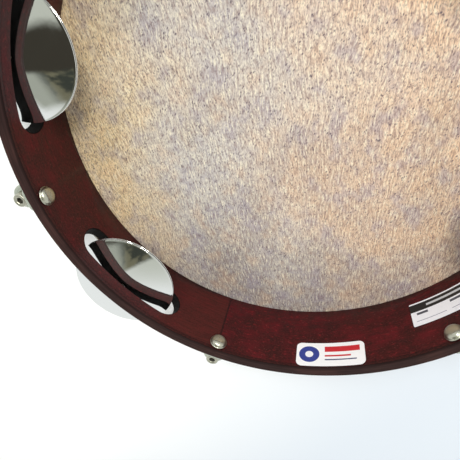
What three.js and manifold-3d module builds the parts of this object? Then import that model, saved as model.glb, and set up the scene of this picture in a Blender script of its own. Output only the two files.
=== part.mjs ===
// A tunable frame drum with jingles, lying on its head with the open rim up.
// Millimetres, +Z up. The origin is the centre of the head's outer face and Z is the drum's axis.
import * as THREE from 'three';
import { mergeVertices } from 'three/addons/utils/BufferGeometryUtils.js';
import Module from 'manifold-3d';

const wasm = await Module();
wasm.setup();

// Driving dimensions, in millimetres and degrees.
const SHELL_RADIUS = 127;        // outside of the bent wooden shell: a 10 inch drum
const SHELL_WALL = 6;
const OPEN_EDGE = 45;            // the open rim, above the face of the head
const FIT = 0.3;                 // clearance between neighbouring pieces
const HEAD_FILM = 0.5;
const RING_STEPS = 72;           // facets round the shell and the hoops
const RIM_BREAK = 1;             // the broken inner and outer edges of the shell

const LUGS = 6;
const BAY = 360 / LUGS;
const HAND_BAY = 270;            // this bay stays plain, for the player's hand

const SLOT_LENGTH = 68.7;
const SLOT_HEIGHT = 18.2;
const SLOT_MIDDLE = 27.1;

const JINGLE_RADIUS = 29.3;
const JINGLE_RISE = 3.9;
const JINGLE_SHEET = 0.8;
const JINGLE_STEPS = 24;
const JINGLE_LIP = 1.8;          // the flat round the edge
const UPPER_JINGLE = 31.1;       // height of the plane of the upper disc's rim
const LOWER_JINGLE = UPPER_JINGLE - 0.5;
const PIN_RADIUS = 1;
const PIN_TOP = 41;
const PIN_FOOT = 6;

const FLESH_HOOP_FOOT = 6.3;
const FLESH_HOOP_HEIGHT = 5;
const FLESH_HOOP_WALL = 3.4;
const COUNTERHOOP_WALL = 2;
const COUNTERHOOP_FOOT = 2;
const COUNTERHOOP_TOP = 14;
const COUNTERHOOP_LIP = 2;
const EAR_WIDTH = 12;
const EAR_THICK = 4;
const EAR_FOOT = 8;

const BOLT_CIRCLE = 137.2;
const BOLT_RADIUS = 2;
const BOLT_HEAD_RADIUS = 3.6;
const BOLT_HEAD_HEIGHT = 4;
const BOLT_HEAD_TOP = 39.3;
const BOLT_FOOT = 5;
const SOCKET_FLATS = 3;          // across the flats of the hexagon socket
const SOCKET_DEPTH = 2.4;

const LUG_FOOT = 23;
const LUG_PLATE_WIDTH = 15.2;
const LUG_PLATE_WALL = 3.8;
const LUG_PLATE_TOP = 42.6;
const LUG_BARREL_RADIUS = 6.6;

const WALL_SCREW_HEIGHT = 38.8;
const WALL_SCREW_RADIUS = 2;
const WALL_SCREW_FLANGE = 4.8;
const WALL_SCREW_DOME = 3.2;

const LABEL_SHEET = 0.3;
const MAKER_LABEL = { width: 37, height: 16, corner: 3, angle: HAND_BAY, middle: 35.5 };
const BATCH_LABEL = { width: 34, height: 16.6, corner: 1, angle: 299.7, middle: 18.1 };

const INNER_RADIUS = SHELL_RADIUS - SHELL_WALL;
const PIN_CIRCLE = SHELL_RADIUS - SHELL_WALL / 2;
const SHELL_FOOT = HEAD_FILM + FIT;
const LUG_TOP = BOLT_HEAD_TOP - BOLT_HEAD_HEIGHT - FIT;
const OUTSIDE_SHELL = SHELL_RADIUS + FIT;
const FLESH_HOOP_RADIUS = OUTSIDE_SHELL + FLESH_HOOP_WALL;
const HOOP_INSIDE = FLESH_HOOP_RADIUS + FIT;
const HOOP_OUTSIDE = HOOP_INSIDE + COUNTERHOOP_WALL;

const finish = (color, roughness, metalness) => new THREE.MeshStandardMaterial({ color, roughness, metalness });
const burgundyWood = finish(0x431a1b, 0.45, 0);
const filmSkin = finish(0xa89782, 0.6, 0);
const chrome = finish(0xd8d8d4, 0.12, 1);
const nickel = finish(0xb9b5a6, 0.25, 1);
const aluminium = finish(0xa5a7a8, 0.4, 1);
const paper = finish(0xf2f2ee, 0.6, 0);

const radians = (degrees) => THREE.MathUtils.degToRad(degrees);

// Solids: three.js makes each shape, manifold-3d cuts and joins them.
function solid(geometry) {
  const bare = geometry.clone();
  bare.deleteAttribute('normal');
  bare.deleteAttribute('uv');
  const merged = mergeVertices(bare, 1e-4);
  return new wasm.Manifold(new wasm.Mesh({
    numProp: 3,
    vertProperties: Float32Array.from(merged.attributes.position.array),
    triVerts: Uint32Array.from(merged.index.array),
  }));
}

function surface(body) {
  const mesh = body.getMesh();
  const geometry = new THREE.BufferGeometry();
  geometry.setAttribute('position', new THREE.BufferAttribute(mesh.vertProperties, 3));
  geometry.setIndex(new THREE.BufferAttribute(mesh.triVerts, 1));
  return geometry;
}

// A closed outline of [radius, height] points, counter-clockwise, turned round Z.
function turned(outline, steps) {
  const points = outline.concat([outline[0]]).map(([radius, height]) => new THREE.Vector2(radius, height));
  return new THREE.LatheGeometry(points, steps).rotateX(Math.PI / 2).rotateZ(Math.PI / 2);
}

function band(inside, outside, foot, top) {
  return turned([[inside, foot], [outside, foot], [outside, top], [inside, top]], RING_STEPS);
}

// A round bar along Z.
function bar(radius, foot, top, steps = 12) {
  return new THREE.CylinderGeometry(radius, radius, top - foot, steps)
    .rotateX(Math.PI / 2)
    .translate(0, 0, (foot + top) / 2);
}

// An outline in the wall's own plane, across and up, pushed outwards along +X.
function throughWall(outline, inside, outside, middle) {
  return new THREE.ExtrudeGeometry(outline, { depth: outside - inside, bevelEnabled: false, curveSegments: 5 })
    .rotateX(Math.PI / 2)
    .rotateZ(Math.PI / 2)
    .translate(inside, 0, middle);
}

function roundedPlate(width, height, radius) {
  const [x, y] = [width / 2, height / 2];
  const shape = new THREE.Shape();
  shape.moveTo(x, radius - y);
  shape.absarc(x - radius, y - radius, radius, 0, Math.PI / 2);
  shape.absarc(radius - x, y - radius, radius, Math.PI / 2, Math.PI);
  shape.absarc(radius - x, radius - y, radius, Math.PI, 1.5 * Math.PI);
  shape.absarc(x - radius, radius - y, radius, 1.5 * Math.PI, 2 * Math.PI);
  return shape;
}

const drum = new THREE.Group();

function addPiece(name, geometry, material, angle = 0) {
  const mesh = new THREE.Mesh(geometry, material);
  mesh.name = name;
  mesh.rotation.z = radians(angle);
  drum.add(mesh);
}

const lugAngles = Array.from({ length: LUGS }, (_, k) => k * BAY);
const jingleAngles = lugAngles.map((angle) => angle + BAY / 2).filter((angle) => angle !== HAND_BAY);

// The shell: one ring of bent wood, slotted for the jingles. The pin holes are drilled from the head's side.
function shell() {
  let body = solid(turned([
    [INNER_RADIUS, SHELL_FOOT],
    [SHELL_RADIUS, SHELL_FOOT],
    [SHELL_RADIUS, OPEN_EDGE - RIM_BREAK],
    [SHELL_RADIUS - RIM_BREAK, OPEN_EDGE],
    [INNER_RADIUS + RIM_BREAK, OPEN_EDGE],
    [INNER_RADIUS, OPEN_EDGE - RIM_BREAK],
  ], RING_STEPS));
  const reach = SHELL_RADIUS + 5;
  const start = INNER_RADIUS - 12;
  const slot = solid(throughWall(
    roundedPlate(SLOT_LENGTH, SLOT_HEIGHT, SLOT_HEIGHT / 2 - 0.01), start, reach, SLOT_MIDDLE));
  const pinHole = solid(bar(PIN_RADIUS + FIT, SHELL_FOOT - 1, PIN_TOP + FIT).translate(PIN_CIRCLE, 0, 0));
  for (const angle of jingleAngles) {
    body = body.subtract(slot.rotate([0, 0, angle])).subtract(pinHole.rotate([0, 0, angle]));
  }
  const screwHole = solid(bar(WALL_SCREW_RADIUS + FIT, start, reach)
    .rotateY(Math.PI / 2)
    .translate(0, 0, WALL_SCREW_HEIGHT));
  for (const angle of lugAngles) {
    body = body.subtract(screwHole.rotate([0, 0, angle]));
  }
  return surface(body);
}

// The head: a flat film, held at its edge by the flesh hoop.
function headFilm() {
  return bar(SHELL_RADIUS, 0, HEAD_FILM, RING_STEPS);
}

// The flesh hoop: the ring that the film is clamped into.
function fleshHoop() {
  return band(OUTSIDE_SHELL, FLESH_HOOP_RADIUS, FLESH_HOOP_FOOT, FLESH_HOOP_FOOT + FLESH_HOOP_HEIGHT);
}

// The counterhoop: a band with an inward lip that bears on the flesh hoop, and an ear for each screw.
function counterhoop() {
  const lipTop = FLESH_HOOP_FOOT - FIT;
  let body = solid(turned([
    [HOOP_INSIDE, COUNTERHOOP_FOOT],
    [HOOP_OUTSIDE, COUNTERHOOP_FOOT],
    [HOOP_OUTSIDE, COUNTERHOOP_TOP],
    [HOOP_INSIDE, COUNTERHOOP_TOP],
    [HOOP_INSIDE, lipTop],
    [OUTSIDE_SHELL + FIT, lipTop],
    [OUTSIDE_SHELL + FIT, lipTop - COUNTERHOOP_LIP],
    [HOOP_INSIDE, lipTop - COUNTERHOOP_LIP],
  ], RING_STEPS));
  const outline = new THREE.Shape();
  outline.moveTo(HOOP_INSIDE + COUNTERHOOP_WALL / 2, -EAR_WIDTH / 2);
  outline.absarc(BOLT_CIRCLE, 0, EAR_WIDTH / 2, -Math.PI / 2, Math.PI / 2);
  outline.lineTo(HOOP_INSIDE + COUNTERHOOP_WALL / 2, EAR_WIDTH / 2);
  const tab = new THREE.ExtrudeGeometry(outline, { depth: EAR_THICK, bevelEnabled: false, curveSegments: 6 });
  const ear = solid(tab.translate(0, 0, EAR_FOOT));
  const hole = solid(bar(BOLT_RADIUS + FIT, EAR_FOOT - 1, EAR_FOOT + EAR_THICK + 1).translate(BOLT_CIRCLE, 0, 0));
  for (const angle of lugAngles) {
    body = body.add(ear.rotate([0, 0, angle]));
    body = body.subtract(hole.rotate([0, 0, angle]));
  }
  return surface(body);
}

// A lug: a plate against the shell, with a barrel that the tuning screw passes through.
function lug() {
  const outline = new THREE.Shape();
  const half = LUG_PLATE_WIDTH / 2;
  const back = INNER_RADIUS;
  const front = OUTSIDE_SHELL + LUG_PLATE_WALL;
  outline.moveTo(back, -half);
  outline.lineTo(front, -half);
  outline.lineTo(BOLT_CIRCLE, -LUG_BARREL_RADIUS);
  outline.absarc(BOLT_CIRCLE, 0, LUG_BARREL_RADIUS, -Math.PI / 2, Math.PI / 2);
  outline.lineTo(front, half);
  outline.lineTo(back, half);
  const block = new THREE.ExtrudeGeometry(outline, {
    depth: LUG_TOP - LUG_FOOT, bevelEnabled: false, curveSegments: 8,
  });
  const plateHeight = LUG_PLATE_TOP - LUG_FOOT;
  const plate = throughWall(
    roundedPlate(LUG_PLATE_WIDTH, plateHeight, 5), back, front, LUG_FOOT + plateHeight / 2);
  const bolt = bar(BOLT_RADIUS + FIT, LUG_FOOT - 1, LUG_TOP + 1).translate(BOLT_CIRCLE, 0, 0);
  const screw = bar(WALL_SCREW_RADIUS + FIT, back, front + 1)
    .rotateY(Math.PI / 2)
    .translate(0, 0, WALL_SCREW_HEIGHT);
  const body = solid(block.translate(0, 0, LUG_FOOT))
    .add(solid(plate))
    .subtract(solid(bar(OUTSIDE_SHELL, 0, OPEN_EDGE, RING_STEPS)))
    .subtract(solid(bolt))
    .subtract(solid(screw));
  return surface(body);
}

// A tuning screw: a round head with a hexagon socket towards the open rim, and a long shank.
function tuningScrew() {
  const seat = BOLT_HEAD_TOP - BOLT_HEAD_HEIGHT;
  const outline = [
    [0, BOLT_FOOT],
    [BOLT_RADIUS, BOLT_FOOT],
    [BOLT_RADIUS, seat],
    [BOLT_HEAD_RADIUS, seat],
    [BOLT_HEAD_RADIUS, BOLT_HEAD_TOP - 0.5],
    [BOLT_HEAD_RADIUS - 0.5, BOLT_HEAD_TOP],
    [0, BOLT_HEAD_TOP],
  ];
  const socketRadius = SOCKET_FLATS / 2 / Math.cos(Math.PI / 6);
  const socket = bar(socketRadius, BOLT_HEAD_TOP - SOCKET_DEPTH, BOLT_HEAD_TOP + 1, 6);
  return surface(solid(turned(outline, 12)).subtract(solid(socket)));
}

// A wall screw: a domed head inside the shell, and a shank through the wall into the lug.
function wallScrew() {
  const tip = OUTSIDE_SHELL + LUG_PLATE_WALL - 0.8;
  const seat = Math.sqrt(INNER_RADIUS ** 2 - WALL_SCREW_FLANGE ** 2) - FIT;
  const dome = [[0, seat - WALL_SCREW_DOME], [2.2, seat - 2.7], [3.6, seat - 1.6], [WALL_SCREW_FLANGE, seat - 0.6]];
  const outline = [
    [0, tip],
    [WALL_SCREW_RADIUS, tip],
    [WALL_SCREW_RADIUS, seat],
    [WALL_SCREW_FLANGE, seat],
    ...dome.reverse(),
  ].reverse();
  return turned(outline, 12).rotateY(Math.PI / 2).translate(0, 0, WALL_SCREW_HEIGHT);
}

// A jingle: a shallow cone of thin sheet, open at the middle for its pin.
function jingle(direction) {
  const hole = PIN_RADIUS + 0.6;
  const slopeEnd = JINGLE_RADIUS - JINGLE_LIP;
  const outline = [
    [hole, JINGLE_RISE - JINGLE_SHEET],
    [slopeEnd, 0],
    [JINGLE_RADIUS, 0],
    [JINGLE_RADIUS, JINGLE_SHEET],
    [slopeEnd, JINGLE_SHEET],
    [hole, JINGLE_RISE],
  ];
  const disc = turned(outline, JINGLE_STEPS);
  return direction > 0 ? disc : disc.rotateX(Math.PI);
}

// A label: a thin sheet that follows the inside of the wall.
function label({ width, height, corner, middle }) {
  const back = INNER_RADIUS - FIT;
  const outline = throughWall(roundedPlate(width, height, corner), back - 5, back + 5, middle);
  const ring = solid(band(back - LABEL_SHEET, back, middle - height, middle + height));
  return surface(ring.intersect(solid(outline)));
}

addPiece('shell', shell(), burgundyWood);
addPiece('head_film', headFilm(), filmSkin);
addPiece('flesh_hoop', fleshHoop(), aluminium);
addPiece('counterhoop', counterhoop(), chrome);

const lugShape = lug();
const tuningScrewShape = tuningScrew().translate(BOLT_CIRCLE, 0, 0);
const wallScrewShape = wallScrew();
lugAngles.forEach((angle, k) => {
  addPiece(`lug_${k + 1}`, lugShape, chrome, angle);
  addPiece(`tuning_screw_${k + 1}`, tuningScrewShape, nickel, angle);
  addPiece(`wall_screw_${k + 1}`, wallScrewShape, nickel, angle);
});

const pinShape = bar(PIN_RADIUS, PIN_FOOT, PIN_TOP).translate(PIN_CIRCLE, 0, 0);
const upperShape = jingle(1).translate(PIN_CIRCLE, 0, UPPER_JINGLE);
const lowerShape = jingle(-1).translate(PIN_CIRCLE, 0, LOWER_JINGLE);
jingleAngles.forEach((angle, k) => {
  addPiece(`jingle_pin_${k + 1}`, pinShape, nickel, angle);
  addPiece(`upper_jingle_${k + 1}`, upperShape, chrome, angle);
  addPiece(`lower_jingle_${k + 1}`, lowerShape, chrome, angle);
});

addPiece('maker_label', label(MAKER_LABEL), paper, MAKER_LABEL.angle);
addPiece('batch_label', label(BATCH_LABEL), paper, BATCH_LABEL.angle);

export default drum;
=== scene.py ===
# %% [markdown]
# # A jingled frame drum with a tuned head
# The drum lies on its head with the open rim up, as it does on a shelf. CAD gives the frame: every
# piece's place and size, and what slides or turns. This lesson gives each piece its real surface.
# Most pieces of a drum are turned, bent or repeated round a circle, so four small tools make nearly
# all of them: a lathe, a loft, a hoop swept by Geometry Nodes, and a Geometry Nodes ring of copies.

# %% Load the frame
from math import asin, cos, pi, radians, sin, sqrt

import bmesh
import bpy
from mathutils import Matrix, Vector


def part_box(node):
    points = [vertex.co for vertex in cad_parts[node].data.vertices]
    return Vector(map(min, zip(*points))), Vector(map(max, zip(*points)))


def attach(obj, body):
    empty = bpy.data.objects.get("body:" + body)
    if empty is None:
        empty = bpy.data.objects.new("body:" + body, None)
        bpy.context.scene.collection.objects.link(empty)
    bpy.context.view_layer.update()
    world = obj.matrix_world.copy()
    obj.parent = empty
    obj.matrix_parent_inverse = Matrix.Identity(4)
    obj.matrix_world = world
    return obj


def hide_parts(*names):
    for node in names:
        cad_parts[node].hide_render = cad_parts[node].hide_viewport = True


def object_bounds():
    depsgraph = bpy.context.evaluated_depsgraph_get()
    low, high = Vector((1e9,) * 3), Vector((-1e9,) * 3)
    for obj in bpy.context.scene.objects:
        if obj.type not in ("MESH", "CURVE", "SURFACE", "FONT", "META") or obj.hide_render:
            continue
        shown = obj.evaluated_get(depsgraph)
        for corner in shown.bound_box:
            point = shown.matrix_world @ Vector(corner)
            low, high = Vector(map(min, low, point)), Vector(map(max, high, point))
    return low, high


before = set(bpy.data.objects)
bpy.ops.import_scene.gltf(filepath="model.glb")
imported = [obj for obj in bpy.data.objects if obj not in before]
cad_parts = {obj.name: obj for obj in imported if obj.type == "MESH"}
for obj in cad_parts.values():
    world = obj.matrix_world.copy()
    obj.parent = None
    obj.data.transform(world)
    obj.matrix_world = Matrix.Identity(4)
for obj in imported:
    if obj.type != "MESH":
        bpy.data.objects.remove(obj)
cad_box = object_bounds()
MM = 0.001
print("CAD box", [round(v, 4) for corner in cad_box for v in corner])

# %% [markdown]
# ## Sizes
# The radii and heights are read from the frame's boxes, so that the drum here can't drift from the
# CAD drum. The lug at angle 0 and the jingle at 90 degrees lie along an axis, so their boxes give
# true radii.

# %% Read the sizes
LUGS = 6
BAY = 2 * pi / LUGS
HAND_BAY = 4                                   # the bay at -Y, which has no jingles
JINGLE_BAYS = [bay for bay in range(LUGS) if bay != HAND_BAY]


def bay_middle(bay):
    return (bay + 0.5) * BAY


shell_low, shell_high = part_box("shell")
RADIUS = shell_high.x
RIM = shell_high.z
WALL = 6 * MM
INSIDE = RADIUS - WALL
PIN_CIRCLE = RADIUS - WALL / 2
pin_low, pin_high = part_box("jingle_pin_2")
upper_low, upper_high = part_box("upper_jingle_2")
_, lower_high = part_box("lower_jingle_2")
JINGLE = (upper_high.x - upper_low.x) / 2
screw_low, screw_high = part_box("tuning_screw_1")
BOLT_CIRCLE = (screw_low.x + screw_high.x) / 2
wall_screw_low, wall_screw_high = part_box("wall_screw_1")
WALL_SCREW_HEIGHT = (wall_screw_low.z + wall_screw_high.z) / 2
print("shell radius", round(RADIUS, 4), "rim", round(RIM, 4), "jingle radius", round(JINGLE, 4))

# %% [markdown]
# ## Camera, light and floor
# The view looks down into the open side from about 15 cm above the rim, with the head beyond it. The
# camera is stated by where it stands and by its three directions, because a drum seen this close has
# no level line to turn to.

# %% Set the camera
scene = bpy.context.scene
scene.view_settings.view_transform = "Standard"
VIEW_PLACE = Vector((0.0235, 0.0550, 0.1931))
VIEW_RIGHT = Vector((0.9443, -0.2607, -0.2008))
VIEW_UP = Vector((0.1215, 0.8434, -0.5234))
lens = bpy.data.cameras.new("view")
lens.sensor_width = 36
lens.lens = 31.3
lens.clip_start = 0.005
camera = bpy.data.objects.new("view", lens)
turn = Matrix((VIEW_RIGHT, VIEW_UP, VIEW_RIGHT.cross(VIEW_UP))).transposed()
camera.matrix_world = Matrix.Translation(VIEW_PLACE) @ turn.to_4x4()
scene.collection.objects.link(camera)
scene.camera = camera
print("camera at", [round(v, 3) for v in VIEW_PLACE], "lens", round(lens.lens, 1))

# %% [markdown]
# ## Shader arithmetic
# A finish is easier to read as a sum than as a wiring diagram. `Wire` wraps one socket, so that plain
# Python arithmetic on wires adds Math nodes. Every other node comes from `Wire.node`.


# %% A wire that can be used in sums
class Wire:
    """One socket of a node tree, for use in plain expressions."""

    def __init__(self, tree, socket):
        self.tree = tree
        self.socket = socket

    def node(self, kind, settings=None, values=None, out=0):
        """Add a node with its settings first and then its inputs, and return one of its outputs."""
        made = self.tree.nodes.new(kind)
        for key, value in (settings or {}).items():
            setattr(made, key, value)
        for key, value in (values or {}).items():
            if isinstance(value, Wire):
                self.tree.links.new(value.socket, made.inputs[key])
            else:
                made.inputs[key].default_value = value
        return Wire(self.tree, made.outputs[out])

    def maths(self, operation, first, second=0.0):
        return self.node("ShaderNodeMath", {"operation": operation}, {0: first, 1: second})

    def __add__(self, other):
        return self.maths("ADD", self, other)

    def __sub__(self, other):
        return self.maths("SUBTRACT", self, other)

    def __rsub__(self, other):
        return self.maths("SUBTRACT", other, self)

    def __mul__(self, other):
        return self.maths("MULTIPLY", self, other)

    def __gt__(self, other):
        return self.maths("GREATER_THAN", self, other)

    def __lt__(self, other):
        return self.maths("LESS_THAN", self, other)

    __radd__ = __add__
    __rmul__ = __mul__

    def stretched(self, across, along, deep=1.0):
        """The same coordinates, scaled on each axis."""
        scale = (across, along, deep)
        return self.node("ShaderNodeVectorMath", {"operation": "MULTIPLY"}, {0: self, 1: scale})

    def noise(self, detail=3.0, rough=0.55):
        inputs = {"Vector": self, "Scale": 1.0, "Detail": detail, "Roughness": rough}
        return self.node("ShaderNodeTexNoise", {}, inputs)

    def between(self, low, high):
        """0 under low, 1 over high, and smooth between."""
        smooth = {"interpolation_type": "SMOOTHSTEP"}
        return self.node("ShaderNodeMapRange", smooth, {0: self, 1: low, 2: high})

    def mix(self, first, second):
        """One colour to the other, with this wire as the share."""
        return self.node("ShaderNodeMix", {"data_type": "RGBA"}, {0: self, 6: first, 7: second}, out=2)

    def bump(self, height):
        """A normal whose relief is this wire, in units of the height in metres."""
        return self.node("ShaderNodeBump", {}, {"Height": self, "Distance": height, "Strength": 1.0})

    def parts(self):
        split = self.node("ShaderNodeSeparateXYZ", {}, {0: self}).socket.node
        return [Wire(self.tree, output) for output in split.outputs]


def linear(level):
    """One level of a colour chart (0 to 255) as linear light, by the usual screen curve."""
    share = level / 255
    return share / 12.92 if level < 11 else ((share + 0.055) / 1.055) ** 2.4


def colour(red, green, blue):
    """A colour as a painter reads it off a chart, turned to the linear light that shaders use."""
    return (linear(red), linear(green), linear(blue), 1)


def finish(name, paint, space="Object", **plain):
    """A Principled material. Plain values go on its sockets, and paint(place) returns what varies."""
    material = bpy.data.materials.new(name)
    material.use_nodes = True
    tree = material.node_tree
    surface = tree.nodes["Principled BSDF"]
    for key, value in plain.items():
        surface.inputs[key.replace("_", " ")].default_value = value
    if space == "Object":
        source = tree.nodes.new("ShaderNodeTexCoord").outputs["Object"]
    else:
        source = tree.nodes.new("ShaderNodeUVMap").outputs["UV"]
    for key, wire in paint(Wire(tree, source)).items():
        tree.links.new(wire.socket, surface.inputs[key.replace("_", " ")])
    return material


print("a chart level of 128 is", round(linear(128), 3), "in linear light")

# %% [markdown]
# ## Floor and light
# A pale floor runs under the drum. The room is a soft dome of light, bright at the sides and dimmer
# straight overhead. A polished disc shows little but what stands round it, so one patch high in the
# dome is dark and uneven, like furniture. Two small lamps give the bright spots on the screw heads.

# %% Build the stage
FLOOR_REACH = 4.0
UNDER_DRUM = 0.4 * MM


def pale(place):
    x, y, _ = place.parts()
    # Painted shade: the floor turns a darker, cooler grey towards +X and -Y, standing in for soft shade on
    # that side.
    painted_floor_shade = (x - y * 1.1 + place.stretched(3, 3).noise(2.0) * 0.1).between(0.05, 0.36)
    return {"Base_Color": painted_floor_shade.mix(colour(250, 250, 250), colour(216, 223, 232))}


floor_mesh = bpy.data.meshes.new("floor")
corners = [(x * FLOOR_REACH, y * FLOOR_REACH, 0) for x, y in ((-1, -1), (1, -1), (1, 1), (-1, 1))]
floor_mesh.from_pydata(corners, [], [(0, 1, 2, 3)])
floor_mesh.materials.append(finish(
    "pale_floor", pale, Roughness=0.8, Emission_Color=(0.95, 0.98, 1.0, 1), Emission_Strength=0.02))
floor = bpy.data.objects.new("floor", floor_mesh)
floor.location.z = cad_box[0][2] - UNDER_DRUM
scene.collection.objects.link(floor)

world = bpy.data.worlds.new("room")
world.use_nodes = True
scene.world = world
sky = world.node_tree
direction = Wire(sky, sky.nodes.new("ShaderNodeTexCoord").outputs["Generated"])


def patch(towards, inside, outside):
    """1 near one direction of the room, falling to 0; the two sizes are distances on a unit ball."""
    ends = {0: direction, 1: towards}
    gap = direction.node("ShaderNodeVectorMath", {"operation": "DISTANCE"}, ends, out=1)
    return 1 - gap.between(inside, outside)


across, along, up = direction.parts()
furniture = direction.stretched(9, 14, 9).noise(2.0).between(0.42, 0.60)
dome = up.between(0.70, 0.93).mix((0.98, 1.0, 1.0, 1), (0.60, 0.62, 0.55, 1))
shade = furniture.mix((0.05, 0.055, 0.045, 1), (0.19, 0.18, 0.12, 1))
shade = across.between(-0.52, -0.40).mix((0.42, 0.44, 0.38, 1), shade)
shade = along.between(-0.17, -0.13).mix(shade, (0.05, 0.045, 0.035, 1))
in_the_way = patch((-0.40, -0.13, 0.90), 0.27, 0.35) * along.between(-0.345, -0.305)
dome = in_the_way.mix(dome, shade)
sky.links.new(dome.socket, sky.nodes["Background"].inputs["Color"])
sky.nodes["Background"].inputs["Strength"].default_value = 1.0


def lamp(name, place, aim, size, power, tint):
    light = bpy.data.lights.new(name, "AREA")
    light.size = size
    light.energy = power
    light.color = tint
    holder = bpy.data.objects.new(name, light)
    holder.location = place
    holder.rotation_euler = (Vector(aim) - Vector(place)).to_track_quat("-Z", "Y").to_euler()
    scene.collection.objects.link(holder)


lamp("key", (0.50, 0.55, 1.0), (0, 0, 0.02), 0.30, 7.5, (1.0, 0.96, 0.90))
lamp("small_window", (0.1, 0.9, 0.8), (0, 0, 0.02), 0.2, 3.0, (0.95, 0.98, 1.0))
print("lamps", [light.name for light in bpy.data.lights])

# %% [markdown]
# ## Tools for making meshes
# `keep` turns a bmesh into a finished piece. `lathe` spins a closed outline round Z, `loft` skins a
# stack of closed loops, and `carried` does what every piece needs at the end: it rides on its body
# and stands for its CAD nodes.


# %% Make, turn and loft
ON_AXIS = 1e-6                                 # a point on the axis is spun as a ring this small
MERGE = 2e-6                                   # points nearer than this become one


def keep(name, shape, materials, smooth=True):
    bmesh.ops.recalc_face_normals(shape, faces=shape.faces)
    mesh = bpy.data.meshes.new(name)
    shape.to_mesh(mesh)
    shape.free()
    for material in materials:
        mesh.materials.append(material)
    for polygon in mesh.polygons:
        polygon.use_smooth = smooth
    piece = bpy.data.objects.new(name, mesh)
    scene.collection.objects.link(piece)
    return piece


def loft(rings, closed_ends=True):
    """Skin a list of loops, each a list of points; a closed end is a fan round the end loop's middle."""
    shape = bmesh.new()
    loops = [[shape.verts.new(point) for point in ring] for ring in rings]
    count = len(loops[0])
    for low, high in zip(loops, loops[1:]):
        for k in range(count):
            shape.faces.new((low[k], low[(k + 1) % count], high[(k + 1) % count], high[k]))
    if closed_ends:
        for loop in (loops[0], loops[-1]):
            middle = shape.verts.new(sum((v.co for v in loop), Vector()) / count)
            for k in range(count):
                shape.faces.new((loop[k], loop[(k + 1) % count], middle))
    return shape


def circle(radius, height, steps):
    angles = [2 * pi * k / steps for k in range(steps)]
    return [(radius * cos(a), radius * sin(a), height) for a in angles]


def lathe(outline, steps):
    """Spin an outline of (radius, height) points round Z. An end on the axis closes to a point."""
    rings = [circle(max(radius, ON_AXIS), height, steps) for radius, height in outline]
    shape = loft(rings, closed_ends=False)
    bmesh.ops.remove_doubles(shape, verts=shape.verts, dist=MERGE)
    return shape


def arc(radius, height, size, start, end, steps=4):
    """Points of a round corner, with its middle at (radius, height). Angles are in degrees."""
    angles = [radians(start + (end - start) * k / steps) for k in range(steps + 1)]
    return [(radius + size * cos(a), height + size * sin(a)) for a in angles]


def moved(shape, place=(0, 0, 0), angle=0.0, tip=None):
    """Tip a shape, move it, and turn it round the drum's axis."""
    matrix = Matrix.Rotation(angle, 4, "Z") @ Matrix.Translation(place)
    if tip is not None:
        matrix = matrix @ tip
    bmesh.ops.transform(shape, matrix=matrix, verts=shape.verts)
    return shape


def carried(piece, body, slot, *nodes):
    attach(piece, body)
    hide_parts(*nodes)
    print(f"{piece.name}: {len(piece.data.polygons)} faces on {body}")


# %% [markdown]
# ## Geometry Nodes: rings of copies and swept hoops
# Lugs, screws and pins sit at even steps round the shell, and one step is left out at the hand. A
# small tree makes that ring from one copy. A second tree sweeps an outline round a circle, as a hoop
# is rolled. Both end in Realize Instances and Set Material, and `plain_mesh` turns the result into an
# ordinary mesh.


# %% Build the two trees
def new_tree(name, numbers):
    tree = bpy.data.node_groups.new(name, "GeometryNodeTree")
    tree.interface.new_socket("Geometry", in_out="INPUT", socket_type="NodeSocketGeometry")
    for label, kind in numbers:
        tree.interface.new_socket(label, in_out="INPUT", socket_type="NodeSocket" + kind)
    tree.interface.new_socket("Geometry", in_out="OUTPUT", socket_type="NodeSocketGeometry")
    start = tree.nodes.new("NodeGroupInput")
    return tree, {socket.name: Wire(tree, socket) for socket in start.outputs if socket.name}


def end_tree(tree, result, material):
    solid = result.node("GeometryNodeRealizeInstances", {}, {"Geometry": result})
    painted = solid.node("GeometryNodeSetMaterial", {}, {"Geometry": solid, "Material": material})
    end = tree.nodes.new("NodeGroupOutput")
    tree.links.new(painted.socket, end.inputs[0])


ring_tree, given = new_tree("ring_of_copies", [
    ("Count", "Int"), ("First angle", "Float"), ("Left out", "Int"), ("Material", "Material")])
number = given["Count"].node("GeometryNodeInputIndex")
step = number * 2 * pi * given["Count"].maths("DIVIDE", 1.0, given["Count"]) + given["First angle"]
spin = step.node("ShaderNodeCombineXYZ", {}, {"Z": step})
wanted = 1 - number.maths("COMPARE", number, given["Left out"])
points = number.node("GeometryNodePoints", {}, {"Count": given["Count"]})
copies = points.node("GeometryNodeInstanceOnPoints", {}, {
    "Points": points, "Selection": wanted, "Instance": given["Geometry"], "Rotation": spin})
end_tree(ring_tree, copies, given["Material"])

hoop_tree, given = new_tree("swept_hoop", [
    ("Radius", "Float"), ("Steps", "Int"), ("Material", "Material")])
section = given["Geometry"].node("GeometryNodeMeshToCurve", {}, {"Mesh": given["Geometry"]})
path = section.node("GeometryNodeCurvePrimitiveCircle", {}, {
    "Resolution": given["Steps"], "Radius": given["Radius"]})
swept = path.node("GeometryNodeCurveToMesh", {}, {"Curve": path, "Profile Curve": section})
rounded = swept.node("GeometryNodeSetShadeSmooth", {}, {"Geometry": swept, "Shade Smooth": True})
end_tree(hoop_tree, rounded, given["Material"])
print("trees", ring_tree.name, hoop_tree.name)


def plain_mesh(piece, tree, **values):
    """Run a tree on a piece and return the result as a plain mesh object with the same name."""
    modifier = piece.modifiers.new("nodes", "NODES")
    modifier.node_group = tree
    for item in tree.interface.items_tree:
        if item.in_out == "INPUT" and item.name.replace(" ", "_") in values:
            modifier[item.identifier] = values[item.name.replace(" ", "_")]
    piece.update_tag()
    evaluated = piece.evaluated_get(bpy.context.evaluated_depsgraph_get())
    mesh = bpy.data.meshes.new_from_object(evaluated)
    name = piece.name
    bpy.data.objects.remove(piece)
    mesh.name = name
    result = bpy.data.objects.new(name, mesh)
    scene.collection.objects.link(result)
    return result


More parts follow.
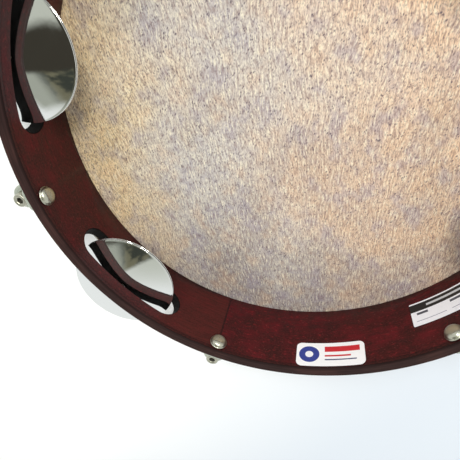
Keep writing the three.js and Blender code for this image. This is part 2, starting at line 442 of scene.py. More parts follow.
def ring_of(piece, material, first_angle=0.0, left_out=-1):
    inputs = {"Count": LUGS, "First_angle": first_angle, "Left_out": left_out, "Material": material}
    return plain_mesh(piece, ring_tree, **inputs)


# %% [markdown]
# ## Finishes
# The shell is ply under a printed burgundy wrap: dark mottles, short streaks that run round the drum,
# and red flecks. Part of the wall's girth is painted darker, as painted shade, and so are the foot of
# the wall, where it meets the head, and a line and band just under the rim. Its coordinates are a UV
# map of arc length and height, so that the grain follows the bend, and the pattern breaks only where
# the real sheet overlaps.

# %% The shell's finishes
GIRTH = 2 * pi * RADIUS


def wrap_print(place):
    along_wall, up_wall, _ = place.parts()
    mottle = place.stretched(70, 95).noise(4.0, 0.7).between(0.36, 0.66)
    blotch = place.stretched(18, 34).noise(2.0).between(0.42, 0.62)
    streak = place.stretched(70, 520).noise(3.0, 0.6).between(0.42, 0.68)
    fleck = place.stretched(340, 700).noise(2.0, 0.5).between(0.58, 0.72)
    speck = place.stretched(900, 1100).noise(1.0).between(0.66, 0.74)
    ground = mottle.mix(colour(46, 13, 13), colour(90, 14, 23))
    ground = (blotch * 0.55).mix(ground, colour(38, 12, 11))
    ground = (streak * 0.6).mix(ground, colour(38, 12, 14))
    ground = (fleck * 0.45).mix(ground, colour(138, 34, 38))
    ground = (speck * 0.35).mix(ground, colour(150, 84, 78))
    # Painted shade: part of the wall's girth is darkened, standing in for the side of the drum that gets
    # less light.
    painted_side_shade = along_wall.between(GIRTH * 0.62, GIRTH * 0.76)
    ground = (painted_side_shade * 0.40).mix(ground, colour(30, 13, 10))
    lapped = along_wall.between(GIRTH - 0.050, GIRTH - 0.020) * 0.45
    ground = lapped.mix(ground, colour(88, 36, 30))
    overlap = place.stretched(60, 900).noise(4.0, 0.7).between(0.42, 0.60)
    ground = (lapped * overlap * 1.3).mix(ground, colour(38, 18, 15))
    to_seam = along_wall.maths("PINGPONG", along_wall, GIRTH / 2)
    seam = 1 - to_seam.between(0.0003, 0.0008)
    ground = (seam * 0.9).mix(ground, colour(18, 8, 8))
    # Painted shade: the wall is darkened at its foot, where it meets the head.
    foot = 1 - up_wall.between(0.0015, 0.0060)
    ground = (foot * 0.5).mix(ground, colour(40, 12, 14))
    # Painted shade: a dark line and a darker band just under the rim stand in for the shade at the rim's
    # inner corner.
    edge = up_wall.between(RIM - 0.0032, RIM - 0.0026) - up_wall.between(RIM - 0.0020, RIM - 0.0014)
    ground = (edge * 0.85).mix(ground, colour(26, 10, 10))
    ground = up_wall.between(RIM - 0.0020, RIM - 0.0014).mix(ground, colour(32, 14, 13))
    fine = place.stretched(800, 1500).noise(2.0, 0.6).between(0.35, 0.65)
    ground = (fine * 0.24).mix(ground, colour(108, 38, 38))
    relief = streak * 0.3 + place.stretched(300, 300).noise(3.0) * 0.7 - seam * 2.0 - edge
    return {"Base_Color": ground, "Roughness": 0.38 + mottle * 0.14, "Normal": relief.bump(0.00006)}


def rim_paint(place):
    _, up_wall, _ = place.parts()
    grain = place.stretched(60, 900).noise(3.0).between(0.35, 0.7)
    worn = place.stretched(35, 35).noise(3.0).between(0.4, 0.7)
    ground = worn.mix(colour(46, 28, 26), colour(62, 38, 34))
    ground = (grain * 0.6).mix(ground, colour(32, 20, 18))
    # Painted shade: the rim face is darkened at its inner edge, standing in for the shade at the inner
    # corner.
    inner = 1 - up_wall.between(RIM - 0.0002, RIM + 0.0012)
    ground = (inner * 0.8).mix(ground, colour(26, 12, 11))
    outer = up_wall.between(RIM + WALL - 0.0012, RIM + WALL)
    ground = (outer * 0.35).mix(ground, colour(104, 80, 70))
    return {"Base_Color": ground, "Roughness": 0.52 + grain * 0.15, "Normal": grain.bump(0.00004)}


def slot_paint(place):
    dust = place.stretched(500, 500).noise(3.0).between(0.45, 0.75)
    return {"Base_Color": dust.mix(colour(8, 6, 6), colour(22, 15, 14)), "Roughness": 0.6 + dust * 0.2}


wrap = finish(
    "burgundy_wrap", wrap_print, "UV", Coat_Weight=0.05, Coat_Roughness=0.2, Specular_IOR_Level=0.16)
rim_finish = finish("rim_lacquer", rim_paint, "UV", Specular_IOR_Level=0.12)
slot_finish = finish("slot_black", slot_paint, "UV", Specular_IOR_Level=0.12)
print("shell finishes", wrap.name, rim_finish.name, slot_finish.name)

# %% [markdown]
# The head is polyester film with a printed skin: pale tan, clouded with yellow, grey-lilac and warm
# orange, and covered with short dark follicle marks that lie along the hair. The warm orange towards +X
# is also painted a little lighter, as painted light, and the grey-lilac towards -Y also serves as
# painted shade. The marks are cells of a Voronoi texture whose coordinates are squeezed along the hair.
# The hair's lean changes slowly from one side to the other.


# %% The head's finish
def skin_print(place):
    x, y, _ = place.parts()
    drift = place.stretched(22, 22).noise(3.0)
    broad = place.stretched(9, 9).noise(2.0)
    cloud = place.stretched(75, 60).noise(3.0, 0.6)
    # Partly painted light: the warm orange print is also a little lighter towards +X, where the light
    # falls.
    warm_tint_and_light = (x * 5.5 + y * 0.6 + broad * 1.2).between(0.25, 1.05)
    cream = (y * 2.2 - x * 11.0 + drift * 1.2).between(1.15, 1.90)
    # Partly painted shade: the grey-lilac print also darkens the head towards -Y, standing in for shade.
    lilac_tint_and_shade = (drift * 1.1 - y * 3.4).between(0.45, 0.95) * (1 - warm_tint_and_light * 0.5) * (1 - cream * 0.8)
    ground = warm_tint_and_light.mix(colour(206, 200, 192), colour(236, 200, 166))
    ground = (lilac_tint_and_shade * 0.85).mix(ground, colour(152, 144, 140))
    ground = (cream * 0.85).mix(ground, colour(240, 212, 160))
    ground = (cloud.between(0.48, 0.66) * 0.42).mix(ground, colour(150, 144, 166))
    ground = ((1 - cloud.between(0.34, 0.50)) * 0.26).mix(ground, colour(226, 180, 134))
    lean = x * 2.0 + radians(9)
    about_z = {"rotation_type": "Z_AXIS"}
    hair = place.node("ShaderNodeVectorRotate", about_z, {"Vector": place, "Angle": lean})
    slow = place.stretched(38, 38)
    sway = slow.node("ShaderNodeTexNoise", {}, {"Vector": slow, "Scale": 1.0}, out=1)
    pushed = {0: sway, 1: (0.006, 0.002, 0.0), 2: hair}
    wavy = sway.node("ShaderNodeVectorMath", {"operation": "MULTIPLY_ADD"}, pushed)
    strands = wavy.stretched(1150, 190).noise(3.0, 0.65)
    fine = wavy.stretched(2300, 700).noise(2.0, 0.6)
    ground = (strands.between(0.50, 0.66) * 0.60).mix(ground, colour(250, 240, 212))
    ground = ((1 - strands.between(0.38, 0.50)) * 0.50).mix(ground, colour(136, 108, 100))
    ground = ((1 - fine.between(0.38, 0.50)) * 0.45).mix(ground, colour(112, 92, 98))

    def marks(across, along, size, turn_by):
        cells = wavy.node("ShaderNodeVectorRotate", about_z, {"Vector": wavy, "Angle": turn_by})
        cells = cells.stretched(across, along)
        distance = cells.node("ShaderNodeTexVoronoi", {}, {"Vector": cells, "Scale": 1.0})
        present = cells.stretched(0.6, 0.6).noise(1.0).between(0.40, 0.66)
        return (1 - distance.between(size * 0.4, size)) * present

    small = marks(1250, 620, 0.50, 0.0)
    large = marks(820, 460, 0.36, 0.5)
    mark = small.maths("MAXIMUM", small * 0.75, large)
    ground = (mark * 0.85).mix(ground, colour(74, 60, 78))
    return {"Base_Color": ground, "Roughness": 0.52 + mark * 0.1, "Normal": (strands - mark).bump(0.00003)}


film_finish = finish("skin_print", skin_print)
print("head finish", film_finish.name)


# %% [markdown]
# The plated parts are metals whose roughness rises in smudges and fine polishing marks. The jingles
# are the smoothest and brightest. The lugs' chrome is duller, the screws are a warmer nickel, and the
# inside of a screw's socket is darker, because little light gets in.


# %% The metals
def polished(shine, smudge):
    def paint(place):
        haze = place.stretched(90, 90, 90).noise(3.0).between(0.35, 0.8)
        scratch = place.stretched(1500, 240, 600).noise(2.0).between(0.6, 0.75)
        return {"Roughness": shine + haze * smudge + scratch * 0.04, "Normal": haze.bump(0.00001)}
    return paint


def metal(name, shine, smudge, tone):
    return finish(name, polished(shine, smudge), Metallic=1.0, Base_Color=colour(*tone))


jingle_chrome = metal("jingle_chrome", 0.03, 0.05, (228, 230, 228))
lug_chrome = metal("lug_chrome", 0.17, 0.12, (180, 185, 170))
screw_nickel = metal("screw_nickel", 0.25, 0.14, (180, 179, 163))
socket_dark = metal("socket_dark", 0.45, 0.15, (66, 64, 56))
hoop_chrome = metal("hoop_chrome", 0.08, 0.10, (208, 208, 204))
hoop_metal = metal("hoop_aluminium", 0.34, 0.12, (176, 178, 180))
print("materials so far", len(bpy.data.materials))

# %% [markdown]
# ## The shell
# The real shell is ply, bent into a ring and then slotted with a straight cutter. So one bay of the
# wall is made flat, with its slot and every edge rounded, is cut into narrow strips, and is bent
# last. The bend keeps the slot's end faces parallel, as a straight cutter leaves them.

# %% Make one bay flat
SLOT_LENGTH = 68.7 * MM
SLOT_HEIGHT = 18.2 * MM
SLOT_MIDDLE = 27.1 * MM
EDGE_ROUND = 0.9 * MM
SLOT_ROUND = 0.5 * MM
HALF_BAY = INSIDE * BAY / 2                    # along the inner face
STRIPS = 40                                    # strips in a bay
END_STEPS = 20                                 # steps round each end of the slot
CUT_MERGE = 1e-6
ROUND_STEPS = 4
PLAIN, RIM_FACE, SLOT_FACE = 0, 1, 2           # material numbers of the shell


def slot_outline(grow):
    """The slot, wider by grow all round, as (distance across the bay, height) points."""
    radius = SLOT_HEIGHT / 2 + grow
    half = SLOT_LENGTH / 2 - SLOT_HEIGHT / 2
    angles = [radians(-90 + 180 * k / END_STEPS) for k in range(END_STEPS + 1)]
    right = [(half + radius * cos(a), radius * sin(a)) for a in angles]
    left = [(-x, -z) for x, z in right]
    return [(x, z + SLOT_MIDDLE) for x, z in right + left]


def bent(across, height, depth):
    """Where a point of the flat bay goes. Up to the slot's ends, across is a straight cutter's
    distance; from there it runs on to the bay's side. depth is from the inner face."""
    radius = INSIDE + depth
    slot_end = SLOT_LENGTH / 2 + SLOT_ROUND
    if abs(across) <= slot_end:
        angle = asin(across / radius)
    else:
        corner = asin(slot_end / radius)
        share = (abs(across) - slot_end) / (HALF_BAY - slot_end)
        angle = (corner + (BAY / 2 - corner) * share) * (1 if across > 0 else -1)
    return Vector((radius * cos(angle), radius * sin(angle), height))


def flat_bay(slotted):
    """Points are (across, height, depth). The bay's two sides stay open, to meet the next bays."""
    shape = bmesh.new()
    side = HALF_BAY
    foot = shell_low.z
    rounds = [k / ROUND_STEPS * pi / 2 for k in range(ROUND_STEPS + 1)]

    def face(points, number):
        made = shape.faces.new([shape.verts.new(point) for point in points])
        made.material_index = number

    # The section of the wall, from the inner face over the rim to the outer face.
    top = [(RIM - EDGE_ROUND * (1 - sin(a)), EDGE_ROUND * (1 - cos(a))) for a in rounds]
    over = top + [(height, WALL - depth) for height, depth in reversed(top)]
    for (z0, d0), (z1, d1) in zip(over, over[1:]):
        face([(-side, z0, d0), (side, z0, d0), (side, z1, d1), (-side, z1, d1)], RIM_FACE)
    face([(-side, foot, WALL), (side, foot, WALL), (side, foot, 0.0), (-side, foot, 0.0)], PLAIN)
    for depth in (0.0, WALL):
        corners = [(-side, foot), (side, foot), (side, RIM - EDGE_ROUND), (-side, RIM - EDGE_ROUND)]
        loops = [corners] + ([slot_outline(SLOT_ROUND)] if slotted else [])
        edges = []
        for loop in loops:
            ring = [shape.verts.new((x, z, depth)) for x, z in loop]
            edges += [shape.edges.new((ring[k - 1], ring[k])) for k in range(len(ring))]
        filled = bmesh.ops.triangle_fill(shape, edges=edges, use_beauty=True)
        for made in filled["geom"]:
            if isinstance(made, bmesh.types.BMFace):
                made.material_index = PLAIN
    if slotted:
        half = [(SLOT_ROUND * (1 - sin(a)), SLOT_ROUND * (1 - cos(a))) for a in rounds]
        through = half + [(grow, WALL - depth) for grow, depth in reversed(half)]
        loops = [[(x, z, depth) for x, z in slot_outline(grow)] for grow, depth in through]
        for number, (low, high) in enumerate(zip(loops, loops[1:])):
            rounded = number in (0, len(loops) - 2)
            for k in range(len(low)):
                face([low[k - 1], low[k], high[k], high[k - 1]], PLAIN if rounded else SLOT_FACE)
    bmesh.ops.remove_doubles(shape, verts=shape.verts, dist=CUT_MERGE)
    for k in range(1, STRIPS):
        cut = (-side + 2 * side * k / STRIPS, 0, 0)
        everything = shape.verts[:] + shape.edges[:] + shape.faces[:]
        bmesh.ops.bisect_plane(
            shape, geom=everything, plane_co=cut, plane_no=(1, 0, 0), dist=CUT_MERGE)
    return shape


print("a bay is", round(2 * HALF_BAY, 4), "wide and its slot", round(SLOT_LENGTH, 4))

# %% [markdown]
# Six bays make the whole ring, and the one at the hand has no slot. They are joined in the order in
# which the printed sheet is wrapped, starting at its overlap, so that the sheet's map runs on from
# bay to bay. Normals weighted by the area of each face keep the bent strips from looking creased.

# %% Bend the bays and join them into the shell
SEAM_BAY = HAND_BAY                            # the sheet's overlap is at this bay's first side
shell = bmesh.new()
sheet_map = shell.loops.layers.uv.new("sheet")
for turn_number in range(LUGS):
    bay = (SEAM_BAY + turn_number) % LUGS
    flat = flat_bay(bay != HAND_BAY)
    spin_bay = Matrix.Rotation(bay_middle(bay), 4, "Z")
    places = {}
    for vertex in flat.verts:
        places[vertex] = (vertex.co.copy(), shell.verts.new(spin_bay @ bent(*vertex.co)))
    for old in flat.faces:
        new = shell.faces.new([places[vertex][1] for vertex in old.verts])
        new.material_index = old.material_index
        for loop, vertex in zip(new.loops, old.verts):
            across, height, depth = places[vertex][0]
            along = (turn_number + 0.5 + across / HALF_BAY / 2) * GIRTH / LUGS
            loop[sheet_map].uv = (along, height + depth)
    flat.free()
bmesh.ops.remove_doubles(shell, verts=shell.verts, dist=MERGE)
shell_piece = keep("shell_bent_ply", shell, [wrap, rim_finish, slot_finish])
weighted = shell_piece.modifiers.new("even_shade", "WEIGHTED_NORMAL")
weighted.keep_sharp = False
carried(shell_piece, "root", "shell_wood", "shell")

# %% [markdown]
# ## The head
# The film crosses the bearing edge, turns down round the shell, and ends in the flesh hoop. One
# outline, spun round the axis, makes the whole thin skin, with a soft bend over the edge.

# %% Turn the head
film_low, film_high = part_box("head_film")
hoop_low, hoop_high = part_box("flesh_hoop")
SKIN = 0.25 * MM
EDGE = RADIUS + SKIN / 2
BEND = 1.2 * MM
FLAT_RINGS = (0, 0.02, 0.04, 0.06, 0.08, 0.1, 0.115)
outer = [(r, 0.0) for r in FLAT_RINGS]
outer += arc(EDGE - BEND, BEND, BEND, -90, 0, 6) + [(EDGE, hoop_low.z)]
inner = [(EDGE - SKIN, hoop_low.z)] + arc(EDGE - BEND, BEND, BEND - SKIN, 0, -90, 6)
inner += [(r, SKIN) for r in reversed(FLAT_RINGS)]
head = keep("head_skin", lathe(outer + inner, 180), [film_finish])
carried(head, "root", "drum_film", "head_film")
print("the CAD head is", round(film_high.z - film_low.z, 5), "thick and the film", SKIN)

# %% [markdown]
# ## The two hoops
# The flesh hoop is an aluminium channel, closed here into one rounded section, and the counterhoop is
# a steel band with a lip. Each is an outline swept round a circle by the hoop tree. An outline's
# second axis points down once it is swept, so its heights change sign.


# %% Sweep the hoops
GAP = 0.3 * MM
HOOP_PATH = RADIUS + 2 * MM                    # the circle that the outlines are swept round
CHANNEL_ROUND = 0.6 * MM


def outline_piece(name, points):
    mesh = bpy.data.meshes.new(name)
    count = len(points)
    mesh.from_pydata([(x, y, 0) for x, y in points], [(k, (k + 1) % count) for k in range(count)], [])
    piece = bpy.data.objects.new(name, mesh)
    scene.collection.objects.link(piece)
    return piece


def box_outline(left, right, low, high, corner, steps=4):
    outline = arc(right - corner, low + corner, corner, -90, 0, steps)
    outline += arc(right - corner, high - corner, corner, 0, 90, steps)
    outline += arc(left + corner, high - corner, corner, 90, 180, steps)
    return outline + arc(left + corner, low + corner, corner, 180, 270, steps)


def hoop(name, outline, material):
    """Sweep an outline of (radius, height) points round the drum's axis."""
    section = outline_piece(name, [(radius - HOOP_PATH, -height) for radius, height in outline])
    return plain_mesh(section, hoop_tree, Radius=HOOP_PATH, Steps=180, Material=material)


channel = box_outline(RADIUS + GAP, hoop_high.x, hoop_low.z, hoop_high.z, CHANNEL_ROUND)
carried(hoop("flesh_hoop_channel", channel, hoop_metal), "root", "hoop_aluminium", "flesh_hoop")

BAND_IN = hoop_high.x + GAP
BAND_OUT = BAND_IN + 2 * MM
BAND_ROUND = 0.9 * MM
BAND_FOOT, BAND_TOP = 2 * MM, 14 * MM
LIP_ROUND = 0.6 * MM
LIP_FOOT, LIP_TOP = 4 * MM, 6 * MM
LIP_IN = RADIUS + 0.6 * MM
band = arc(BAND_OUT - BAND_ROUND, BAND_FOOT + BAND_ROUND, BAND_ROUND, -90, 0)
band += arc(BAND_OUT - BAND_ROUND, BAND_TOP - BAND_ROUND, BAND_ROUND, 0, 90)
band += arc(BAND_IN + BAND_ROUND, BAND_TOP - BAND_ROUND, BAND_ROUND, 90, 180)
band += [(BAND_IN, LIP_TOP)] + arc(LIP_IN + LIP_ROUND, LIP_TOP - LIP_ROUND, LIP_ROUND, 90, 180)
band += arc(LIP_IN + LIP_ROUND, LIP_FOOT + LIP_ROUND, LIP_ROUND, 180, 270) + [(BAND_IN, LIP_FOOT)]
band += arc(BAND_IN + BAND_ROUND, BAND_FOOT + BAND_ROUND, BAND_ROUND, 180, 270)
counter_band = hoop("counterhoop_band", band, hoop_chrome)
carried(counter_band, "root", "hoop_chrome", "counterhoop")

# %% [markdown]
# ## Ears and lugs
# Both are small castings with a hole on the bolt circle. `casting` skins a stack of outlines, and
# closes the two flat ends round the hole. Shrinking the first and the last outlines rounds the edges.


# %% Shape a casting
BORE = 2.3 * MM
BORE_ROUND = 0.4 * MM
SAME_LEVEL = 1e-7                              # heights nearer than this are one height


def add_shape(shape, other):
    mesh = bpy.data.meshes.new("other")
    other.to_mesh(mesh)
    other.free()
    shape.from_mesh(mesh)
    bpy.data.meshes.remove(mesh)


def casting(levels):
    """levels is a list of (outline, height), and all the outlines have one length."""
    rings = [[(x, y, height) for x, y in outline] for outline, height in levels]
    shape = loft(rings, closed_ends=False)
    foot, top = levels[0][1], levels[-1][1]
    wide = BORE + BORE_ROUND
    bore = [(wide, foot), (BORE, foot + BORE_ROUND), (BORE, top - BORE_ROUND), (wide, top)]
    tube = [[(x + BOLT_CIRCLE, y, z) for x, y, z in circle(r, h, 32)] for r, h in bore]
    add_shape(shape, loft(tube, closed_ends=False))
    for height in (foot, top):
        open_edges = [
            edge for edge in shape.edges
            if edge.is_boundary and all(abs(v.co.z - height) < SAME_LEVEL for v in edge.verts)]
        bmesh.ops.triangle_fill(shape, edges=open_edges, use_beauty=True)
    return shape


print("castings have a bore of", round(2 * BORE, 4))


def shrunk(outline, inset):
    """Move every point of a closed outline inwards, along the middle of its two edges' normals."""
    result = []
    count = len(outline)
    for k in range(count):
        before, here, after = (Vector(outline[(k + d) % count]) for d in (-1, 0, 1))
        first, second = (here - before).normalized(), (after - here).normalized()
        normal = Vector((-(first.y + second.y), first.x + second.x)).normalized()
        result.append(tuple(here + normal * inset / max(0.4, normal.dot(Vector((-first.y, first.x))))))
    return result


def tongue(back, half, steps=16):
    """An outline with a straight back, straight sides and a round front about the bolt."""
    angles = [pi * (k / steps - 0.5) for k in range(steps + 1)]
    front = [(BOLT_CIRCLE + half * cos(a), half * sin(a)) for a in angles]
    return [(back, -half)] + front + [(back, half)]


def soft_levels(outline, foot, top, round_edge, steps=3):
    """A stack of outlines from foot to top with rounded edges."""
    angles = [pi / 2 * k / steps for k in range(steps + 1)]
    curve = [(round_edge * (1 - sin(a)), round_edge * (1 - cos(a))) for a in angles]
    levels = [(shrunk(outline, inset), foot + rise) for inset, rise in curve]
    return levels + [(shrunk(outline, inset), top - rise) for inset, rise in reversed(curve)]


# %% [markdown]
# An ear is a small tab on the counterhoop. The tuning screw goes through it and pulls the hoop
# towards the rim. It could be cut from the band's own mesh, but a casting that runs a little way into
# the band is simpler and looks the same.

# %% Cast the ears
EAR_HALF = 6 * MM
EAR_SUNK = 0.6 * MM                            # how far it runs into the band
EAR_FOOT, EAR_TOP = 8 * MM, 12 * MM
EAR_ROUND = 0.8 * MM
ear_outline = tongue(BAND_OUT - EAR_SUNK, EAR_HALF)
ear = casting(soft_levels(ear_outline, EAR_FOOT, EAR_TOP, EAR_ROUND))
ears = ring_of(keep("counterhoop_ears", ear, [hoop_chrome]), hoop_chrome)
carried(ears, "root", "hoop_chrome", "counterhoop")

# %% [markdown]
# A lug is bolted to the shell and takes the pull of the screw. It is a barrel for the screw on a
# rounded plate. The plate's levels are laid on the shell's curve point by point, so that the gap
# behind the plate stays even.

# %% Cast the lugs
lug_low, lug_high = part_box("lug_1")
LUG_BACK = RADIUS + GAP
PLATE_WALL = 3.8 * MM
PLATE_CORNER = 5 * MM
PLATE_LEVELS = ((0.5, 0.0), (0.0, 0.5), (0.0, 2.6), (0.35, 3.4), (1.2, PLATE_WALL / MM))
BARREL_SUNK = 1.5 * MM                         # how far the barrel runs into the plate
BARREL_ROUND = 1.4 * MM
SCREW_HEAD = 4 * MM                            # height of the tuning screw's head, over the lug
LUG_TOP = screw_high.z - SCREW_HEAD - GAP
barrel_outline = tongue(LUG_BACK + PLATE_WALL - BARREL_SUNK, lug_high.x - BOLT_CIRCLE)
lug = casting(soft_levels(barrel_outline, lug_low.z, LUG_TOP, BARREL_ROUND))
half_width = (lug_high.y - lug_low.y) / 2
half_height = (lug_high.z - lug_low.z) / 2
plate_middle = (lug_low.z + lug_high.z) / 2
flat_outline = box_outline(-half_width, half_width, -half_height, half_height, PLATE_CORNER, 6)
rings = []
for inset, reach in PLATE_LEVELS:              # in millimetres, from the shell outwards
    ring = []
    for y, z in shrunk(flat_outline, inset * MM):
        back = sqrt(LUG_BACK * LUG_BACK - y * y)
        ring.append((back + reach * MM, y, z + plate_middle))
    rings.append(ring)
add_shape(lug, loft(rings))
lugs = ring_of(keep("lugs", lug, [lug_chrome]), lug_chrome)
carried(lugs, "root", "lug_chrome", *[f"lug_{k + 1}" for k in range(LUGS)])

# %% [markdown]
# ## Wall screws and jingle pins
# The dome screws sit inside the shell, one behind each lug. Such a screw is round all over, so it is
# turned on the lathe. Its outline is a shank, a thin flange, a small step and a dome.

# %% Turn the wall screws
DOME = 3.2 * MM                                # height over the seat
DOME_FOOT = 4.45 * MM                          # radius
DOME_START = 0.55 * MM
DOME_STEPS = 14
SEAT = INSIDE - 0.35 * MM
SHANK = 2.0 * MM
SHANK_END = -7.0 * MM
flange = (wall_screw_high.z - wall_screw_low.z) / 2
angles = [pi / 2 * k / DOME_STEPS for k in range(DOME_STEPS + 1)]
dome = [(DOME_FOOT * cos(a) ** 0.9, DOME_START + (DOME - DOME_START) * sin(a)) for a in angles]
outline = [(0, SHANK_END), (SHANK - 0.4 * MM, SHANK_END), (SHANK, SHANK_END + 0.5 * MM), (SHANK, 0)]
outline += [(flange - 0.2 * MM, 0)]
outline += [(flange, 0.15 * MM), (flange, 0.35 * MM), (flange - 0.15 * MM, 0.5 * MM)] + dome
screw = lathe(outline, 48)
moved(screw, (SEAT, 0, WALL_SCREW_HEIGHT), tip=Matrix.Rotation(-pi / 2, 4, "Y"))
wall_screws = ring_of(keep("wall_screws", screw, [screw_nickel]), screw_nickel)
carried(wall_screws, "root", "screw_nickel", *[f"wall_screw_{k + 1}" for k in range(LUGS)])

# %% [markdown]
# Each pair of jingles hangs on a plain pin that stands in the slot. A lathe outline with a round
# corner at each end is enough for it, and the ring of copies starts half a bay later.

# %% Turn the pins
PIN_ROUND = 0.3 * MM
pin_radius = (pin_high.x - pin_low.x) / 2
pin_outline = [(0, pin_low.z)]
pin_outline += arc(pin_radius - PIN_ROUND, pin_low.z + PIN_ROUND, PIN_ROUND, -90, 0)
pin_outline += arc(pin_radius - PIN_ROUND, pin_high.z - PIN_ROUND, PIN_ROUND, 0, 90)
pin_outline += [(0, pin_high.z)]
pin = moved(lathe(pin_outline, 24), (PIN_CIRCLE, 0, 0))
pins = ring_of(keep("jingle_pins", pin, [screw_nickel]), screw_nickel, BAY / 2, HAND_BAY)
carried(pins, "root", "screw_nickel", *[f"jingle_pin_{k + 1}" for k in range(len(JINGLE_BAYS))])

# %% [markdown]
# ## Tuning screws
# Each has a round head with a hexagon socket, a plain neck, and a real rolled thread. The thread is a
# loft whose radius depends on the height less the share of a turn, which is what makes a helix. The
# faces inside the socket take the darker metal.

# %% Turn and thread the tuning screws
BOLT = 2.0 * MM                                # radius
HEAD = 3.6 * MM                                # radius
HEAD_ROUND = 0.7 * MM
UNDER_ROUND = 0.35 * MM
FLATS = 3.0 * MM                               # across the socket
SOCKET = 2.4 * MM                              # depth
MOUTH = 2.3 * MM                               # radius where the head's flat top ends
POINT = 0.6 * MM                               # radius of the socket's floor
PITCH = 0.7 * MM
THREAD_DEPTH = 0.36 * MM
ROWS_IN_PITCH = 6
STEPS = 36
head_top = screw_high.z
head_foot = head_top - SCREW_HEAD
thread_foot, thread_top = screw_low.z + 0.4 * MM, 23.5 * MM


def hexagon(height):
    ring = []
    for k in range(STEPS):
        angle = 2 * pi * k / STEPS
        flat = FLATS / 2 / cos(angle % (pi / 3) - pi / 6)
        ring.append((flat * cos(angle), flat * sin(angle), height))
    return ring


def threaded(height):
    ring = []
    for k in range(STEPS):
        angle = 2 * pi * k / STEPS
        share = (height / PITCH - k / STEPS) % 1.0
        ridge = abs(2 * share - 1)
        run_out = min(1.0, (thread_top - height) / PITCH, (height - thread_foot) / PITCH + 0.4)
        radius = BOLT - THREAD_DEPTH * (1 - ridge) * max(0.0, run_out)
        ring.append((radius * cos(angle), radius * sin(angle), height))
    return ring


rows = int((thread_top - thread_foot) / PITCH * ROWS_IN_PITCH)
under = HEAD - UNDER_ROUND
rings = [circle(1.3 * MM, screw_low.z, STEPS)]
rings += [threaded(thread_foot + (thread_top - thread_foot) * k / rows) for k in range(rows + 1)]
turned_outline = [(BOLT, head_foot - 0.05 * MM), (under, head_foot)]
turned_outline += arc(under, head_foot + UNDER_ROUND, UNDER_ROUND, -80, 0, 3)
turned_outline += arc(HEAD - HEAD_ROUND, head_top - HEAD_ROUND, HEAD_ROUND, 0, 90, 5)
rings += [circle(radius, height, STEPS) for radius, height in turned_outline]
rings += [circle(MOUTH, head_top, STEPS), hexagon(head_top - 0.35 * MM), hexagon(head_top - SOCKET)]
rings += [circle(POINT, head_top - SOCKET - 0.5 * MM, STEPS)]
for k in range(LUGS):
    bolt = loft(rings)
    for facet in bolt.faces:
        middle = facet.calc_center_median()
        in_socket = middle.z > head_foot and middle.xy.length < FLATS / 2 + 0.2 * MM
        facet.material_index = int(in_socket)
    name = f"tuning_screw_{k + 1}"
    moved(bolt, (BOLT_CIRCLE, 0, 0), k * BAY)
    turned = keep(name + "_turned", bolt, [screw_nickel, socket_dark])
    carried(turned, name, "screw_nickel", name)

# %% [markdown]
# ## Jingles
# Each disc is spun from thin sheet: a rolled edge, and a slope that is steepest at the edge and
# gentlest in the middle, where the hole for the pin is. The lower disc is the same shape turned over.

# %% Spin the jingles
SHEET = 0.45 * MM
RISE = upper_high.z - upper_low.z
HOLE = 1.6 * MM
ROLL = 0.24 * MM
SWELL = 1.45                                   # 1 is a straight cone, and more is rounder
PROFILE_STEPS = 36


def jingle_height(radius):
    """The height of the sheet's outer face over the disc's edge, at a radius."""
    return SHEET + (RISE - SHEET) * max(0.0, 1 - (radius / (JINGLE - 0.25 * MM)) ** SWELL)


first, last = HOLE + 0.3 * MM, JINGLE - 0.45 * MM
radii = [first + (last - first) * k / PROFILE_STEPS for k in range(PROFILE_STEPS + 1)]
upper_face = [(r, jingle_height(r)) for r in radii]
roll = arc(JINGLE - ROLL, ROLL, ROLL, 100, -100, 7)
under_face = [(r, jingle_height(r) - SHEET) for r in reversed(radii)]
hole_edge = [(HOLE, RISE - 0.33 * MM), (HOLE, RISE - 0.2 * MM)]
disc_outline = upper_face + roll + under_face + hole_edge + upper_face[:1]
for k, bay in enumerate(JINGLE_BAYS):
    for which, foot, over in (("upper", upper_low.z, False), ("lower", lower_high.z, True)):
        disc = lathe(disc_outline, 128)
        flip = Matrix.Rotation(pi, 4, "X") if over else None
        moved(disc, (PIN_CIRCLE, 0, foot), bay_middle(bay), tip=flip)
        name = f"{which}_jingle_{k + 1}"
        carried(keep(name + "_spun", disc, [jingle_chrome]), name, "jingle_chrome", name)

# %% [markdown]
# ## Labels
# Two stickers lie on the inner wall. Their faces are plain fields, bars and a ring, placed by the
# distance round the wall and the height, and there is no writing on them.


# %% Lay the labels
def label(name, width, height, corner, angle, middle, material):
    """A thin curved plate with rounded corners, between two radii just inside the wall."""
    outside = INSIDE - GAP
    inside = outside - 0.3 * MM
    steps = 48
    rings = []
    for k in range(steps + 1):
        across = -width / 2 + width * (0.5 - 0.5 * cos(pi * k / steps))
        into = max(0.0, abs(across) - (width / 2 - corner))
        tall = height / 2 - corner + sqrt(max(corner * corner - into * into, (0.02 * MM) ** 2))
        turn_by = angle + across / outside
        ring = []
        for radius, sign in ((inside, -1), (inside, 1), (outside, 1), (outside, -1)):
            ring.append((radius * cos(turn_by), radius * sin(turn_by), middle + sign * tall))
        rings.append(ring)
    piece = keep(name + "_sticker", loft(rings), [material], smooth=False)
    carried(piece, "root", "label_paper", name)


def on_wall(place, angle, middle):
    """Distance round the wall and height, in millimetres from a label's middle."""
    x, y, z = place.parts()
    round_wall = (x.maths("ARCTAN2", y, x) - angle) * (INSIDE / MM)
    return round_wall, (z - middle) * (1 / MM)


def inside_box(across, height, left, right, low, high):
    return (across > left) * (across < right) * (height > low) * (height < high)


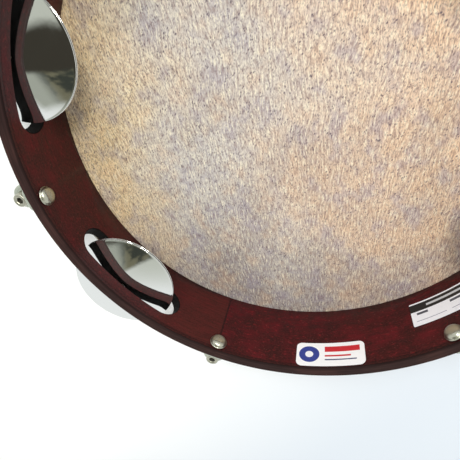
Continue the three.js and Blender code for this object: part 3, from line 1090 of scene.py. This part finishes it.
MAKER_ANGLE, MAKER_MIDDLE = radians(-90), 35.5 * MM
BATCH_ANGLE, BATCH_MIDDLE = radians(299.7 - 360), 18.1 * MM


def maker_paint(place):
    across, height = on_wall(place, MAKER_ANGLE, MAKER_MIDDLE)
    worn = place.stretched(700, 700, 700).noise(3.0).between(0.5, 0.8)
    ground = (worn * 0.3).mix(colour(244, 245, 247), colour(222, 224, 230))
    aside = across + 11.5
    square = aside * aside + height * height
    from_ring = square.maths("SQRT", square)
    ground = (from_ring < 5.6).mix(ground, colour(40, 58, 140))
    ground = (from_ring < 2.2).mix(ground, colour(236, 238, 242))
    for right, low, high in ((16.0, -5.4, -1.6), (11.0, 0.6, 1.7)):
        ground = inside_box(across, height, -3.0, right, low, high).mix(ground, colour(196, 32, 44))
    ground = inside_box(across, height, -3.0, 14.0, 3.4, 4.2).mix(ground, colour(52, 60, 104))
    return {"Base_Color": ground, "Roughness": 0.32 + worn * 0.2}


def batch_paint(place):
    across, height = on_wall(place, BATCH_ANGLE, BATCH_MIDDLE)
    worn = place.stretched(600, 600, 600).noise(3.0).between(0.5, 0.8)
    ground = (worn * 0.3).mix(colour(243, 244, 250), colour(222, 226, 240))
    ground = inside_box(across, height, -18, 18, -7.3, -1.7).mix(ground, colour(18, 18, 20))
    ground = inside_box(across, height, -8, 12, -5.3, -3.8).mix(ground, colour(200, 202, 206))
    for left, right in ((-14, -8), (4, 10)):
        ground = inside_box(across, height, left, right, -0.6, 1.0).mix(ground, colour(70, 72, 84))
    for left, right in ((-15, 1), (4, 15)):
        ground = inside_box(across, height, left, right, 5.2, 5.55).mix(ground, colour(120, 124, 150))
    return {"Base_Color": ground, "Roughness": 0.35 + worn * 0.2}


maker_finish = finish("maker_label_face", maker_paint)
batch_finish = finish("batch_label_face", batch_paint)
label("maker_label", 37 * MM, 16 * MM, 3 * MM, MAKER_ANGLE, MAKER_MIDDLE, maker_finish)
label("batch_label", 34 * MM, 16.6 * MM, 0.4 * MM, BATCH_ANGLE, BATCH_MIDDLE, batch_finish)
